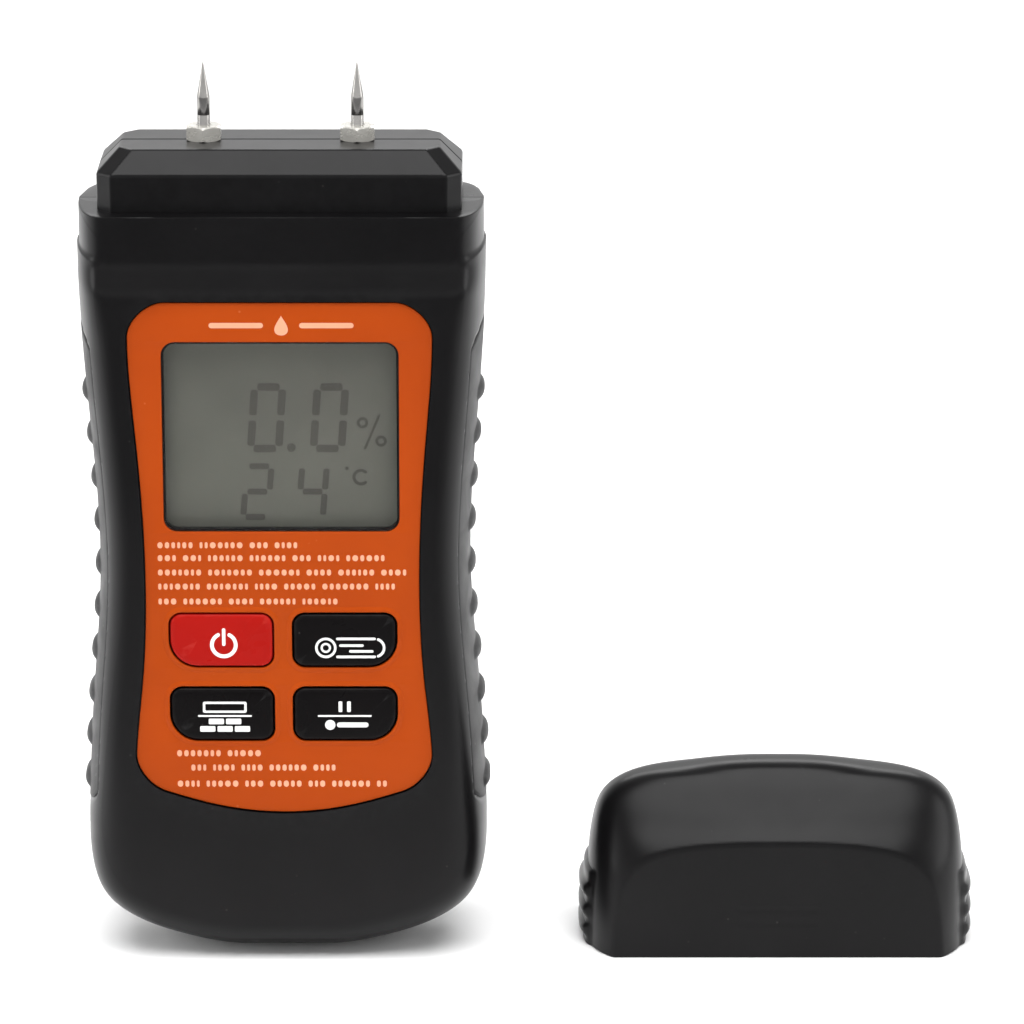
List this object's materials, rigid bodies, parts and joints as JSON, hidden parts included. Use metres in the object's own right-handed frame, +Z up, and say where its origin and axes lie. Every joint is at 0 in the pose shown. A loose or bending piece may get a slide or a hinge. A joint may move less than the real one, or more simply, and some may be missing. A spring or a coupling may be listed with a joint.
{
  "type": "moisture meter",
  "caption": "Hand-held pin moisture meter with a waisted two-shell housing, display, keypad, battery door and a separate protective cap beside it.",
  "frame": {"origin": "centre of the flat foot at the lower end of the meter, on the plane where the two shells meet", "axes": "+Z up along the meter towards the pins, -Y out of the face with the display, +X to the right of that face towards the cap"},
  "size_m": [0.1488, 0.0298, 0.1496],
  "materials": {
    "black_housing": "black moulded ABS, satin gloss",
    "black_rubber": "soft black grip, fine texture",
    "orange_plate": "orange printed polycarbonate film",
    "clear_window": "clear acrylic",
    "display_glass": "grey-green liquid crystal display",
    "red_key": "red silicone key",
    "black_key": "black silicone key",
    "carbon": "conductive carbon rubber",
    "keypad_silicone": "grey silicone sheet",
    "circuit_board": "green glass-fibre laminate, solder mask",
    "chip_black": "moulded epoxy packages",
    "white_plastic": "white frame and light guide plastic",
    "trimmer_blue": "blue trimmer body",
    "gold_contact": "gold flash on copper",
    "zinc_steel": "zinc plated steel screws",
    "nickel_steel": "bright nickel plated hex nuts",
    "pin_steel": "ground and polished hardened steel",
    "socket_brass": "turned brass",
    "battery_can": "lacquered steel can",
    "foam": "closed-cell foam pad",
    "red_wire": "red PVC insulation",
    "black_wire": "black PVC insulation"
  },
  "bodies": {
    "meter": {"amplifier_chip": "chip_black", "back_shell": "black_housing", "backlight": "white_plastic", "battery": "battery_can", "battery_foam": "foam", "battery_terminals": "zinc_steel", "black_lead": "black_wire", "board_screws": "zinc_steel", "buzzer": "chip_black", "calibration_trimmer": "trimmer_blue", "capacitors": "chip_black", "case_screws": "zinc_steel", "chip_parts": "chip_black", "contact_strips": "keypad_silicone", "controller_chip": "chip_black", "display_window": "clear_window", "face_plate": "orange_plate", "front_shell": "black_housing", "key_contacts": "gold_contact", "keypad_mat": "keypad_silicone", "lcd_frame": "white_plastic", "lcd_glass": "display_glass", "left_grip": "black_rubber", "left_pin": "pin_steel", "main_board": "circuit_board", "pin_nuts": "nickel_steel", "pin_sockets": "socket_brass", "pin_tabs": "socket_brass", "red_lead": "red_wire", "right_grip": "black_rubber", "right_pin": "pin_steel", "snap_connector": "chip_black", "temperature_sensor": "chip_black"},
    "power_button": {"power_key": "red_key", "power_pill": "carbon"},
    "wood_button": {"wood_key": "black_key", "wood_pill": "carbon"},
    "wall_button": {"wall_key": "black_key", "wall_pill": "carbon"},
    "hold_button": {"hold_key": "black_key", "hold_pill": "carbon"},
    "door": {"battery_door": "black_housing"},
    "cap": {"cap_shell": "black_housing"}
  },
  "joints": [
    {"name": "power_press", "type": "slide", "parent": "meter", "child": "power_button", "axis": [0, 1, 0], "range_m": [0, 0.0009], "stiffness_N_per_m": 1500},
    {"name": "wood_press", "type": "slide", "parent": "meter", "child": "wood_button", "axis": [0, 1, 0], "range_m": [0, 0.0009], "stiffness_N_per_m": 1500},
    {"name": "wall_press", "type": "slide", "parent": "meter", "child": "wall_button", "axis": [0, 1, 0], "range_m": [0, 0.0009], "stiffness_N_per_m": 1500},
    {"name": "hold_press", "type": "slide", "parent": "meter", "child": "hold_button", "axis": [0, 1, 0], "range_m": [0, 0.0009], "stiffness_N_per_m": 1500},
    {"name": "door_swing", "type": "hinge", "parent": "meter", "child": "door", "pos_m": [0, 0.01395, 0.02], "axis": [-1, 0, 0], "range_deg": [0, 95]},
    {"name": "cap_lift", "type": "slide", "parent": "meter", "child": "cap", "axis": [0, 0, 1], "range_m": [0, 0.032]}
  ]
}
